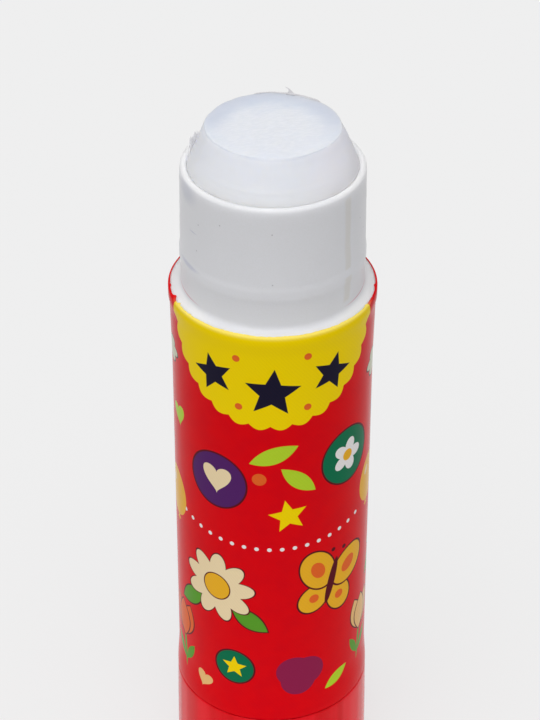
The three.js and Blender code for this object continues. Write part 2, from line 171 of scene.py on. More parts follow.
def add_camera():
    ahead = Vector((0, cos(CAMERA_PITCH), -sin(CAMERA_PITCH)))
    across = Vector((1, 0, 0))
    upright = across.cross(ahead)
    right = across * cos(CAMERA_ROLL) + upright * sin(CAMERA_ROLL)
    up = upright * cos(CAMERA_ROLL) - across * sin(CAMERA_ROLL)
    data = bpy.data.cameras.new("camera")
    data.lens = FOCAL_LENGTH
    data.sensor_width = SENSOR
    data.clip_start = 0.01
    data.clip_end = 50
    camera = add_object("camera", data)
    turn = Matrix((right, up, -ahead)).transposed().to_4x4()
    camera.matrix_world = Matrix.Translation(CAMERA_PLACE) @ turn
    bpy.context.scene.camera = camera


add_camera()


class Graph:
    """Adds nodes to a node tree. A value is a number, a tuple or another node's output."""

    def __init__(self, tree):
        self.tree = tree

    def node(self, kind, values=(), **settings):
        node = self.tree.nodes.new(kind)
        for name, value in settings.items():
            setattr(node, name, value)
        for key, value in dict(values).items():
            if isinstance(value, bpy.types.NodeSocket):
                self.tree.links.new(value, node.inputs[key])
            else:
                node.inputs[key].default_value = value
        return node

    def math(self, operation, *values):
        return self.node("ShaderNodeMath", enumerate(values), operation=operation).outputs[0]

    def times(self, first, second):
        return self.math("MULTIPLY", first, second)

    def minus(self, first, second):
        return self.math("SUBTRACT", first, second)

    def over(self, first, second):
        return self.math("DIVIDE", first, second)

    def apart(self, first, second):
        return self.math("ABSOLUTE", self.minus(first, second))

    def length(self, x, y):
        return self.math("SQRT", self.math("MULTIPLY_ADD", x, x, self.times(y, y)))

    def scaled(self, vector, factors):
        values = enumerate((vector, factors))
        return self.node("ShaderNodeVectorMath", values, operation="MULTIPLY").outputs[0]

    def split(self, vector):
        return self.node("ShaderNodeSeparateXYZ", {0: vector}).outputs

    def mix(self, share, first, second):
        values = {0: share, 6: first, 7: second}
        return self.node("ShaderNodeMix", values, data_type="RGBA").outputs[2]

    def fade(self, value, low, high, to_low=0, to_high=1):
        """Maps low to high smoothly onto to_low to to_high, and no further."""
        values = enumerate((value, low, high, to_low, to_high))
        node = self.node("ShaderNodeMapRange", values, interpolation_type="SMOOTHSTEP")
        return node.outputs[0]

    def noise(self, place, scale, detail=2, stretch=(1, 1, 1)):
        values = {"Vector": self.scaled(place, stretch), "Scale": scale, "Detail": detail}
        return self.node("ShaderNodeTexNoise", values).outputs["Fac"]

    def bump(self, height, distance, strength=1):
        """distance is how many metres a height of 1 stands for."""
        values = {"Height": height, "Distance": distance, "Strength": strength}
        return self.node("ShaderNodeBump", values).outputs["Normal"]

    def place(self):
        """Where a point lies in the part's frame at rest, in mm."""
        coordinates = self.node("ShaderNodeTexCoord").outputs["Object"]
        return self.scaled(coordinates, (1 / MM,) * 3)

    def unrolled(self, place, radius):
        """The same place with the stick's side rolled out: across, up, mm."""
        x, y, z = self.split(place)
        angle = self.math("ARCTAN2", x, self.times(y, -1))
        flat = enumerate((self.times(angle, radius), z))
        return self.node("ShaderNodeCombineXYZ", flat).outputs[0]


def new_material(name, **constants):
    """A Principled material. The constants are set on the shader's own sockets."""
    material = bpy.data.materials.new(name)
    material.use_nodes = True
    graph = Graph(material.node_tree)
    shader = material.node_tree.nodes["Principled BSDF"]
    for key, value in constants.items():
        shader.inputs[key.replace("_", " ")].default_value = value
    return material, graph, graph.place()


def finish(material, colour, normal, roughness=None):
    """Links what varies over the surface to the material's shader."""
    shader = material.node_tree.nodes["Principled BSDF"]
    for name, output in (("Base Color", colour), ("Roughness", roughness), ("Normal", normal)):
        if output:
            material.node_tree.links.new(output, shader.inputs[name])
    return material


# Light: a wide soft key almost overhead, a little in front and to the left, and an even pale room.
PALE = linear(239, 239, 239)
ROOM_LIGHT = 0.41
ROOM_BLUE = 1.02
KEY_LIGHT = 0.62
KEY_AZIMUTH = radians(-14)
KEY_ELEVATION = radians(70)
KEY_WIDTH = radians(50)
FLOOR_HALF = 4.0
POOL_SHADE = 0.92
FLOOR_SHADE = 0.42
POOL_R = 60
POOL_EDGE_R = 260
SHADOW_SHARE = 0.22


def seen_directly(graph):
    """1 for a ray that shows the background itself: straight, mirrored or through glass."""
    path = graph.node("ShaderNodeLightPath").outputs
    mirrored = graph.math("MAXIMUM", path["Is Glossy Ray"], path["Is Transmission Ray"])
    return graph.math("MAXIMUM", path["Is Camera Ray"], mirrored)


def add_world():
    world = bpy.data.worlds.new("room")
    world.use_nodes = True
    bpy.context.scene.world = world
    graph = Graph(world.node_tree)
    background = world.node_tree.nodes["Background"]
    dim = (ROOM_LIGHT, ROOM_LIGHT, ROOM_LIGHT * ROOM_BLUE, 1)
    graph.tree.links.new(graph.mix(seen_directly(graph), dim, PALE), background.inputs["Color"])


def add_key():
    data = bpy.data.lights.new("key", "SUN")
    data.angle = KEY_WIDTH
    data.energy = KEY_LIGHT * math.pi
    key = add_object("key", data)
    towards = Vector(on_cylinder(cos(KEY_ELEVATION), KEY_AZIMUTH, sin(KEY_ELEVATION)))
    key.rotation_euler = towards.to_track_quat("Z", "Y").to_euler()
    key.location = towards


def add_floor():
    """A pale floor. It shows as an even pale tone with a faint shadow, and it throws the light of a
    brighter pool round the object back up at it."""
    mesh = bpy.data.meshes.new("floor")
    corners = [(-1, -1), (1, -1), (1, 1), (-1, 1)]
    points = [(x * FLOOR_HALF, y * FLOOR_HALF, 0) for x, y in corners]
    mesh.from_pydata(points, [], [(0, 1, 2, 3)])
    floor = add_object("floor", mesh)
    material = bpy.data.materials.new("pale floor")
    material.use_nodes = True
    graph = Graph(material.node_tree)
    graph.tree.nodes.remove(graph.tree.nodes["Principled BSDF"])
    direct = seen_directly(graph)
    x, y, _ = graph.split(graph.place())
    bounce = graph.fade(graph.length(x, y), POOL_R, POOL_EDGE_R, POOL_SHADE, FLOOR_SHADE)
    lit_colour = graph.mix(direct, bounce, PALE)
    lit = graph.node("ShaderNodeBsdfDiffuse", {"Color": lit_colour}).outputs[0]
    plain = graph.node("ShaderNodeEmission", {"Color": PALE, "Strength": 1}).outputs[0]
    share = graph.times(direct, 1 - SHADOW_SHARE)
    mixed = graph.node("ShaderNodeMixShader", {0: share, 1: lit, 2: plain}).outputs[0]
    graph.tree.links.new(mixed, graph.tree.nodes["Material Output"].inputs["Surface"])
    mesh.materials.append(material)


add_world()
add_floor()
add_key()


# Meshes


def piece_from_rings(name, rings, closed=False):
    """Joins rings of points, in mm, that have as many points each. closed joins the last ring to
    the first. Points that fall together are merged, so a ring may shrink to one point."""
    points = np.array(rings, float)
    rows, columns, _ = points.shape
    faces = []
    for row in range(rows if closed else rows - 1):
        here = row * columns
        above = ((row + 1) % rows) * columns
        for column in range(columns):
            beside = (column + 1) % columns
            faces.append((here + column, here + beside, above + beside, above + column))
    mesh = bpy.data.meshes.new(name)
    mesh.from_pydata((points.reshape(-1, 3) * MM).tolist(), [], faces)
    shape = bmesh.new()
    shape.from_mesh(mesh)
    bmesh.ops.remove_doubles(shape, verts=shape.verts, dist=SAME_PLACE)
    bmesh.ops.recalc_face_normals(shape, faces=shape.faces)
    shape.to_mesh(mesh)
    shape.free()
    mesh.shade_smooth()
    mesh.set_sharp_from_angle(angle=SHARP_EDGE)
    return add_object(name, mesh)


FEATURES = 4
FIRST_FEATURE = radians(45)
COLUMNS_BETWEEN = 46


def featured_ring(half_width, radius, z, feature_r=None, feature_z=None, shape=None):
    """A ring of points round the axis with four features of parallel sides, such as ribs, which may
    have a radius and a height of their own. shape scales the radius by the angle. Close to the axis
    the features narrow, so that all four have room."""
    feature_r = feature_r or radius
    feature_z = feature_z or z
    least_r = half_width * 1.5
    beside = math.asin(half_width / max(radius, least_r))
    inside = math.asin(half_width / max(feature_r, least_r))
    quarter = FULL_TURN / FEATURES
    span = quarter - 2 * beside

    def point(r, angle, height):
        scale = shape(angle) if shape else 1.0
        return (r * scale * cos(angle), r * scale * sin(angle), height)

    points = []
    for feature in range(FEATURES):
        middle = FIRST_FEATURE + feature * quarter
        points.append(point(radius, middle - beside, z))
        for side in (-1, 0, 1):
            points.append(point(feature_r, middle + side * inside, feature_z))
        for step in range(COLUMNS_BETWEEN):
            points.append(point(radius, middle + beside + span * step / COLUMNS_BETWEEN, z))
    return points


def arc(centre, radius, first, last, steps=7):
    """Profile points on an arc, its angles in degrees from straight out, turning up."""
    angles = [radians(first + (last - first) * step / steps) for step in range(steps + 1)]
    return [(centre[0] + radius * cos(a), centre[1] + radius * sin(a)) for a in angles]


def swelling(wall_r, middle, width, proud, steps=12):
    """A soft low ridge round a wall, from below to above."""
    heights = [middle + width * (step / steps - 0.5) for step in range(steps + 1)]
    flank = width / 3
    rises = [smooth(width / 2 - abs(z - middle), 0, flank) for z in heights]
    return [(wall_r + proud * rise, z) for z, rise in zip(heights, rises)]


def even(start, end, step):
    """Numbers from start to end in steps of about that size, start left out."""
    count = max(1, round(abs(end - start) / step))
    return [start + (end - start) * (i + 1) / count for i in range(count)]


def square(angle):
    """The radius of a square whose corners lie on the axes, as a share of its corner's."""
    quarter = FULL_TURN / 4
    return cos(quarter / 2) / cos(angle % quarter - quarter / 2)


def sleeve_radius(z):
    foot = FOOT_FLARE[0] * (1 - smooth(z - SLEEVE_FOOT, 0, FOOT_FLARE[1]))
    top = TOP_FLARE[0] * (1 - smooth(SLEEVE_TOP - z, 0, TOP_FLARE[1]))
    return WAIST_R + foot + top


def make_barrel():
    turn = radians(LIP_TAIL_TURN)
    lip_r = LIP_R - LIP_TAIL_ROUND * (1 - cos(turn)) - LIP_OUTER_ROUND * cos(turn)
    tail_foot = RIM - LIP_OUTER_ROUND - (LIP_TAIL_ROUND - LIP_OUTER_ROUND) * sin(turn)
    tail_centre = (LIP_R - LIP_TAIL_ROUND, tail_foot)
    profile = [
        (BEARING_R, BARREL_FOOT),
        (BARREL_R - SPIGOT_CHAMFER, BARREL_FOOT),
        (BARREL_R, BARREL_FOOT + SPIGOT_CHAMFER),
        *swelling(BARREL_R, *SNAP_BEAD),
        (BARREL_R, FLANGE_UNDER),
        (FLANGE_R, FLANGE_UNDER),
        *arc((FLANGE_R - FLANGE_ROUND, SHOULDER - FLANGE_ROUND), FLANGE_ROUND, 0, 90),
        *arc((NECK_FOOT_R + NECK_FILLET, SHOULDER + NECK_FILLET), NECK_FILLET, 270, 180),
        *swelling(NECK_FOOT_R, *SNAP_RIDGE),
        *arc(tail_centre, LIP_TAIL_ROUND, 0, LIP_TAIL_TURN, 6),
        *arc((lip_r, RIM - LIP_OUTER_ROUND), LIP_OUTER_ROUND, LIP_TAIL_TURN, 90, 12),
        *arc((BORE_R + LIP_INNER_ROUND, RIM - LIP_INNER_ROUND), LIP_INNER_ROUND, 90, 180, 5),
        (BORE_R, RIB_TOP),
        (BORE_R, RIB_TOP - RIB_LEAD_IN, RIB_CREST_R),
        (BORE_R, BARREL_FLOOR_TOP, RIB_CREST_R),
        (BEARING_R, BARREL_FLOOR_TOP),
    ]
    rings = [featured_ring(RIB_HALF_WIDTH, *spot) for spot in profile]
    return piece_from_rings("barrel_moulding", rings, closed=True)


def make_knob():
    wall_top = KNOB_HEIGHT - KNOB_RIM_ROUND
    swell = KNOB_FOOT_R - KNOB_RIM_R
    wall = [
        (KNOB_FOOT_R - swell * share**2, KNOB_FOOT_ROUND + (wall_top - KNOB_FOOT_ROUND) * share)
        for share in even(0, 1, 1 / 12)
    ]
    profile = [
        (0, FOOT_RECESS),
        (FOOT_RING_R - FOOT_RECESS_SLOPE, FOOT_RECESS),
        (FOOT_RING_R, 0),
        *arc((KNOB_FOOT_R - KNOB_FOOT_ROUND, KNOB_FOOT_ROUND), KNOB_FOOT_ROUND, -90, 0),
        *wall,
        *arc((KNOB_RIM_R - KNOB_RIM_ROUND, wall_top), KNOB_RIM_ROUND, 0, 90),
        (KNOB_BORE_R, KNOB_HEIGHT),
        (KNOB_BORE_R, WEB_TOP),
    ]
    rings = [featured_ring(WEB_HALF_WIDTH, *spot) for spot in profile]
    for radius in (KNOB_BORE_R, HUB_R):
        rings.append(featured_ring(WEB_HALF_WIDTH, radius, KNOB_FLOOR, feature_z=WEB_TOP))
    rings += [featured_ring(WEB_HALF_WIDTH, HUB_R, z) for z in (WEB_TOP, HUB_TOP)]
    groove_r = SOCKET_CORNER_R + GROOVE_DEPTH
    socket = [
        (SOCKET_CORNER_R, HUB_TOP),
        (SOCKET_CORNER_R, GROOVE_HEIGHT + GROOVE_HALF_WIDTH),
        (groove_r, GROOVE_HEIGHT + GROOVE_FLOOR_HALF_WIDTH),
        (groove_r, GROOVE_HEIGHT - GROOVE_FLOOR_HALF_WIDTH),
        (SOCKET_CORNER_R, GROOVE_HEIGHT - GROOVE_HALF_WIDTH),
        (SOCKET_CORNER_R, SOCKET_END),
        (0, SOCKET_END),
    ]
    rings += [featured_ring(WEB_HALF_WIDTH, *spot, shape=square) for spot in socket]
    return piece_from_rings("knob_moulding", rings)


def hump(value, middle, half):
    """A soft hump, 1 in its middle and about a third at half from it."""
    return math.exp(-(((value - middle) / half) ** 2))


def waver(angle, waves, seed):
    """Smooth noise round the stick, from about -1 to 1, the same on both sides of its seam."""
    reach = waves / FULL_TURN
    return 2 * noise.noise(Vector((reach * cos(angle), reach * sin(angle), seed)))


# How far the film's upper edge follows the flange's rounded edge, in degrees of that rounding,
# and where it was torn and folded further over: angle, half-width, degrees more.
FILM_CURL = 56
FILM_CURL_AT_SIDES = 44
FILM_TEARS = [
    (-71.5, 1.7, 46), (-64, 0.9, 36), (-60.5, 0.6, 14), (-84, 1.6, 22), (-52, 0.5, 9),
    (-28, 0.6, 8), (24, 0.7, 7), (41, 0.5, 9), (63, 0.9, 20), (84, 1.5, 26),
    (128, 1.2, 30), (-141, 1.8, 24),
]
CURL_STEPS = 8


def film_curl(angle):
    """How many degrees of the flange's rounding the film covers at this angle."""
    degrees = math.degrees(angle)
    plain = FILM_CURL + (FILM_CURL_AT_SIDES - FILM_CURL) * smooth(abs(degrees), 25, 70)
    ragged = 3 * waver(angle, 40, 1.7) + 3.5 * waver(angle, 230, 4.1)
    torn = sum(much * hump(degrees, at, half) for at, half, much in FILM_TEARS)
    return plain + ragged + torn


def make_film():
    """The label's film, wrapped round the sleeve and flange. It laps over itself at the back."""
    foot = FILM_FOOT + FILM_FOOT_CHAMFER
    flared = [FILM_FOOT, foot, *even(foot, SLEEVE_FOOT + FOOT_FLARE[1], 0.6)]
    waist = even(flared[-1], SLEEVE_TOP - TOP_FLARE[1], 6)
    upper = even(waist[-1], SLEEVE_TOP - 0.8, 1.2)
    sides = [*flared, *waist, *upper]
    curl_start = SHOULDER - FLANGE_ROUND
    columns = []
    for index in range(FILM_COLUMNS):
        angle = -math.pi + FULL_TURN * index / FILM_COLUMNS
        seam_share = smooth(math.pi - angle, 0, FILM_SEAM_RAMP)
        outer_gap = FILM_GAP + FILM_THICKNESS - FILM_SEAM_STEP * (1 - seam_share)
        outside = [(sleeve_radius(z) + outer_gap, z) for z in sides]
        outside[0] = (outside[0][0] - FILM_FOOT_CHAMFER, outside[0][1])
        inside = [(sleeve_radius(z) + FILM_GAP, z) for z in sides]
        for z in (SLEEVE_TOP, curl_start):
            outside.append((FLANGE_R + outer_gap, z))
            inside.append((FLANGE_R + FILM_GAP, z))
        curl = radians(film_curl(angle))
        for share in even(0, 1, 1 / CURL_STEPS):
            outer = outer_gap - FILM_EDGE_THINNED * smooth(share, 0.3, 1)
            inner = FILM_GAP - FILM_EDGE_PRESSED * share
            for side, gap in ((outside, outer), (inside, inner)):
                reach = FLANGE_ROUND + gap
                r = FLANGE_R - FLANGE_ROUND + reach * cos(curl * share)
                side.append((r, curl_start + reach * sin(curl * share)))
        columns.append([on_cylinder(r, angle, z) for r, z in outside + inside[::-1]])
    rings = np.array(columns).transpose(1, 0, 2)
    return piece_from_rings("label_film_wrap", rings, closed=True)


# Where the glue was pushed up against the bore and torn at the side, and where the worn top's edge
# was pulled up at the back, in degrees.
TORN_SIDE = (-131, -94)
TORN_BACK = (134, 199)


def front_share(angle):
    """1 in the middle of the worn top's front edge, which is rubbed round, and 0 round the rest."""
    return hump(math.degrees(angle), 0, 24)


def glue_edge_radius(angle):
    """The outline of the worn top face, which lies a little to the back and bulges to the right."""
    bulge = GLUE_TOP_BULGE * hump(math.degrees(angle), 82, 24)
    spread = bulge + GLUE_TOP_WIDER * sin(angle) ** 2
    back = -GLUE_TOP_SHIFT * cos(angle)
    frayed = 0.06 * front_share(angle) * waver(angle, 90, 5.1)
    wavy = 0.06 * waver(angle, 16, 8.2) + 0.03 * waver(angle, 60, 2.9)
    return GLUE_TOP_R + back + spread + wavy + frayed


def make_glue():
    profile = [
        (0, GLUE_BORE_TOP),
        (GLUE_BORE_R, GLUE_BORE_TOP),
        (GLUE_BORE_R, GLUE_FOOT),
        (CUP_R, GLUE_FOOT),
        (CUP_R, CUP_TOP),
        *[(GLUE_R, z, SLOT_FLOOR_R) for z in (CUP_TOP, *even(CUP_TOP, SLOT_TOP, 4))],
        (GLUE_R, SLOT_TOP),
        (GLUE_R, BEVEL_FOOT),
    ]
    rings = [featured_ring(SLOT_HALF_WIDTH, *spot) for spot in profile]
    columns = [worn_column(math.atan2(x, -y)) for x, y, _ in rings[-1]]
    rings += list(np.array(columns).transpose(1, 0, 2))
    return piece_from_rings("glue_stub", rings)


BEVEL_ROWS = 30
# A faint step round the front of the bevel: how proud it is, and its place up the bevel.
BEVEL_STEP = 0.05
BEVEL_STEP_AT = 0.29
BEVEL_STEP_HALF_WIDTH = 0.035
# The rounding round the top, in degrees, and how far its foot moves for each mm of more radius.
EDGE_ROWS = 5
EDGE_FIRST = 32
EDGE_LAST = 90
EDGE_OUTWARD = 0.29
EDGE_DOWNWARD = 0.47
EDGE_FOOT_DROP = 0.7
TOP_ROWS = 40
SWEEP_TILT = radians(17)


def worn_column(angle):
    """Points from the glue's straight side over the bevel to the middle of its worn top."""
    rubbed = GLUE_EDGE_RUBBED * front_share(angle)
    edge_round = GLUE_EDGE_ROUND + rubbed
    edge_r = glue_edge_radius(angle) + EDGE_OUTWARD * rubbed
    edge_z = GLUE_TOP - GLUE_EDGE_ROUND * EDGE_FOOT_DROP - EDGE_DOWNWARD * rubbed
    spots = []
    for share in even(0, 1, 1 / BEVEL_ROWS):
        r = GLUE_R + (edge_r - GLUE_R) * share
        z = BEVEL_FOOT + (edge_z - BEVEL_FOOT) * share
        waves = 0.10 * waver(angle, 7, share * 1.4) + 0.03 * waver(angle, 30, share * 3)
        step = BEVEL_STEP * hump(share, BEVEL_STEP_AT, BEVEL_STEP_HALF_WIDTH)
        uneven = smooth(share, 0, 0.25) * waves + step * smooth(cos(angle), 0.4, 0.9)
        spots.append((min(r + uneven * 0.8, GLUE_R), z + uneven * 0.5))
    edge_r, edge_z = spots[-1]
    first = radians(EDGE_FIRST)
    for share in even(0, 1, 1 / EDGE_ROWS):
        turn = radians(EDGE_FIRST + (EDGE_LAST - EDGE_FIRST) * share)
        r = edge_r - edge_round * (cos(first) - cos(turn))
        spots.append((r, edge_z + edge_round * (sin(turn) - sin(first))))
    start_r, start_z = spots[-1]
    middle_z = GLUE_TOP + GLUE_CROWN
    for share in even(0, 1, 1 / TOP_ROWS):
        r = start_r * (1 - share)
        z = middle_z + (start_z - middle_z) * (1 - share) ** 2
        x, y, _ = on_cylinder(r, angle, 0)
        along = x * cos(SWEEP_TILT) + y * sin(SWEEP_TILT)
        across = y * cos(SWEEP_TILT) - x * sin(SWEEP_TILT)
        coarse = noise.noise(Vector((along * 0.3, across * 0.6, 3.3)))
        fine = noise.noise(Vector((along * 0.9, across * 1.9, 9.1)))
        swept = (0.05 * coarse + 0.025 * fine) * smooth(share, 0, 0.12) * smooth(1 - share, 0, 0.04)
        spots.append((r, z + swept))
    return [on_cylinder(r, angle, z) for r, z in spots]


# How much shorter than the longest the shortest tip is, as a share, and how far tips sway, mm.
JAG_DEPTH = 0.28
TIP_SWAY = 0.05


def make_torn_strip(name, first, last, columns, base, height_at, lean, thickness, seed):
    """A thin ragged wall of glue along an arc. base gives its foot's (radius, height) for an angle,
    height_at how tall it is there, and lean how far its tips reach outward for each mm of that."""
    dice = np.random.default_rng(seed)
    jag = dice.random(columns)
    sway = dice.normal(0, 1, columns)
    rows = ((0, 1), (0.35, 0.8), (0.7, 0.5), (1, 0.12))  # share of the height, of the thickness
    strip = []
    for index in range(columns):
        share = index / (columns - 1)
        angle = radians(first + (last - first) * share)
        fade = smooth(share, 0, 0.08) * smooth(1 - share, 0, 0.08)
        height = fade * height_at(angle) * (1 - JAG_DEPTH * (1 - jag[index]))
        base_r, base_z = base(angle)
        outer, inner = [], []
        for up, wide in rows:
            r = base_r + lean * height * up
            z = base_z + height * up
            turned = angle + fade * up * sway[index] * TIP_SWAY / base_r
            half = fade * thickness * wide / 2
            outer.append(on_cylinder(r + half, turned, z))
            inner.append(on_cylinder(r - half, turned, z))
        strip.append(outer + inner[::-1])
    return piece_from_rings(name, strip)


SIDE_BURR_HEIGHT = 2.85
BACK_BURR_HEIGHT = (0.12, 0.26)
FLAKE_SIDES = 10


def side_burr_height(angle):
    degrees = math.degrees(angle)
    first, last = TORN_SIDE
    share = smooth(degrees, first, first + 5) * (1 - smooth(degrees, last - 8, last))
    return SIDE_BURR_HEIGHT * share * max(0.94 + 0.2 * waver(angle, 120, 6.6), 0.7)


def back_burr_height(angle):
    least, most = BACK_BURR_HEIGHT
    return least + (most - least) * max(waver(angle, 34, 12.5), 0)


def make_side_burr():
    return make_torn_strip(
        "glue_burr_side",
        *TORN_SIDE,
        columns=110,
        base=lambda angle: (GLUE_R - 0.29, BEVEL_FOOT - 0.6),
        height_at=side_burr_height,
        lean=0.055,
        thickness=0.44,
        seed=11,
    )


def make_back_burr():
    return make_torn_strip(
        "glue_burr_back",
        *TORN_BACK,
        columns=200,
        base=lambda angle: (glue_edge_radius(angle) - 0.12, GLUE_TOP - 0.1),
        height_at=back_burr_height,
        lean=0.9,
        thickness=0.2,
        seed=5,
    )


def make_flake():
    """A hooked flake of glue, pulled up at the back of the worn top. Each step along it gives its
    radius, angle, height, half-width and half-thickness."""
    path = [
        (9.3, 164.6, 113.0, 0.72, 0.16),
        (9.75, 165.2, 113.2, 0.42, 0.12),
        (10.1, 166.2, 113.3, 0.22, 0.08),
        (10.45, 167.8, 113.36, 0.14, 0.06),
        (10.75, 169.8, 113.39, 0.09, 0.04),
        (10.8, 170.8, 113.41, 0.03, 0.02),
    ]
    rings = []
    for radius, degrees, z, wide, thick in path:
        middle = Vector(on_cylinder(radius, radians(degrees), z))
        outward = Vector(on_cylinder(1, radians(degrees), 0))
        along = Vector((0, 0, 1)).cross(outward)
        ring = []
        for step in range(FLAKE_SIDES):
            turn = FULL_TURN * step / FLAKE_SIDES
            raised = Vector((0, 0, thick * sin(turn)))
            ring.append(middle + along * wide * cos(turn) + raised)
        rings.append(ring)
    foot, tip = [sum(ring, Vector()) / FLAKE_SIDES for ring in (rings[0], rings[-1])]
    return piece_from_rings("glue_flake_back", [[foot] * FLAKE_SIDES, *rings, [tip] * FLAKE_SIDES])


# Printed motifs

INK_COLOURS = {
    "red": (227, 0, 14),
    "yellow": (252, 219, 0),
    "navy": (26, 24, 46),
    "purple": (145, 32, 76),
    "violet": (84, 36, 104),
    "green": (6, 115, 77),
    "leaf": (92, 160, 44),
    "lime": (184, 217, 48),
    "amber": (241, 181, 40),
    "orange": (233, 104, 40),
    "cream": (244, 222, 178),
    "sand": (238, 192, 124),
    "white": (243, 240, 238),
    "mist": (212, 214, 186),
    "outline": (92, 18, 30),
}
INKS = {name: linear(*rgb) for name, rgb in INK_COLOURS.items()}
INK_EDGE = 0.07
SCREEN_PITCH = (11.0, 9.0)
SCREEN_STRENGTH = 0.025
OUTLINE = 0.26
PLACE_SOCKETS = ("Across", "Up", "At across", "At up", "Half width", "Half height", "Turn")
SHAPE_SOCKETS = ("Points", "Depth", "Line width")


def shape_group(name, distance):
    """A node group that prints one shape over the ink below it. distance(graph, x, y, inputs) gives
    how far a point lies outside the shape, in units of the shape's half-size. It works on single
    numbers only, because Cycles runs out of room for a long chain of vectors."""
    tree = bpy.data.node_groups.new(name, "ShaderNodeTree")
    add_socket = tree.interface.new_socket
    for socket in (*PLACE_SOCKETS, *SHAPE_SOCKETS):
        add_socket(socket, in_out="INPUT", socket_type="NodeSocketFloat")
    for socket in ("Below", "Fill", "Line"):
        add_socket(socket, in_out="INPUT", socket_type="NodeSocketColor")
    add_socket("Ink", in_out="OUTPUT", socket_type="NodeSocketColor")
    graph = Graph(tree)
    inputs = graph.node("NodeGroupInput").outputs
    cosine = graph.math("COSINE", inputs["Turn"])
    sine = graph.math("SINE", inputs["Turn"])
    across = graph.minus(inputs["Across"], inputs["At across"])
    up = graph.minus(inputs["Up"], inputs["At up"])
    turned_x = graph.math("MULTIPLY_ADD", across, cosine, graph.times(up, sine))
    x = graph.over(turned_x, inputs["Half width"])
    turned_y = graph.minus(graph.times(up, cosine), graph.times(across, sine))
    y = graph.over(turned_y, inputs["Half height"])
    shorter = graph.math("MINIMUM", inputs["Half width"], inputs["Half height"])
    outside = graph.times(distance(graph, x, y, inputs), shorter)
    fill = graph.minus(0.5, graph.over(outside, INK_EDGE))
    widened = graph.minus(outside, inputs["Line width"])
    line = graph.minus(0.5, graph.over(widened, INK_EDGE))
    lined = graph.mix(line, inputs["Below"], inputs["Line"])
    graph.node("NodeGroupOutput", {"Ink": graph.mix(fill, lined, inputs["Fill"])})
    return tree


def petal_distance(graph, x, y, inputs):
    """A flower of rounded petals. With no points it is a disc."""
    angle = graph.times(graph.math("ARCTAN2", y, x), graph.over(inputs["Points"], 2))
    lobe = graph.minus(1, graph.math("ABSOLUTE", graph.math("COSINE", angle)))
    radius = graph.minus(1, graph.times(lobe, inputs["Depth"]))
    return graph.minus(graph.length(x, y), radius)


def star_distance(graph, x, y, inputs, points=5, notch=0.45):
    half = math.pi / points
    folded = graph.math("PINGPONG", graph.math("ARCTAN2", x, y), half)
    reach = graph.length(x, y)
    along = graph.times(reach, graph.math("COSINE", folded))
    across = graph.times(reach, graph.math("SINE", folded))
    edge = Vector((notch * cos(half) - 1, notch * sin(half))).normalized()
    shifted = graph.times(graph.minus(along, 1), edge.y)
    return graph.minus(shifted, graph.times(across, edge.x))


def leaf_distance(graph, x, y, inputs):
    bow = graph.minus(1, graph.times(x, x))
    return graph.minus(graph.math("ABSOLUTE", y), bow)


def heart_distance(graph, x, y, inputs):
    raised = graph.math("MULTIPLY_ADD", y, 1.3, 0.3)
    lobed = graph.minus(raised, graph.math("SQRT", graph.math("ABSOLUTE", x)))
    return graph.minus(graph.length(x, lobed), 1)


def panel_distance(graph, x, y, inputs):
    """A rectangle with rounded corners. Depth is the corner's share of the half-size."""
    halves = (inputs["Half width"], inputs["Half height"])
    shorter = graph.math("MINIMUM", *halves)
    corner = graph.times(shorter, inputs["Depth"])
    reach = []
    for share, half in zip((x, y), halves):
        away = graph.times(graph.math("ABSOLUTE", share), half)
        over = graph.minus(away, graph.minus(half, corner))
        reach.append(graph.math("MAXIMUM", over, 0))
    return graph.over(graph.minus(graph.length(*reach), corner), shorter)


SHAPES = {
    "petals": shape_group("petal shape", petal_distance),
    "star": shape_group("star shape", star_distance),
    "leaf": shape_group("leaf shape", leaf_distance),
    "heart": shape_group("heart shape", heart_distance),
    "panel": shape_group("panel shape", panel_distance),
}
# A tulip's petals: place, lean in degrees, half-length and half-width, as shares of its size.
PETALS = [(-0.25, 0.1, 108, 0.6, 0.3), (0.25, 0.1, 72, 0.6, 0.3), (0, 0.08, 90, 0.62, 0.34)]


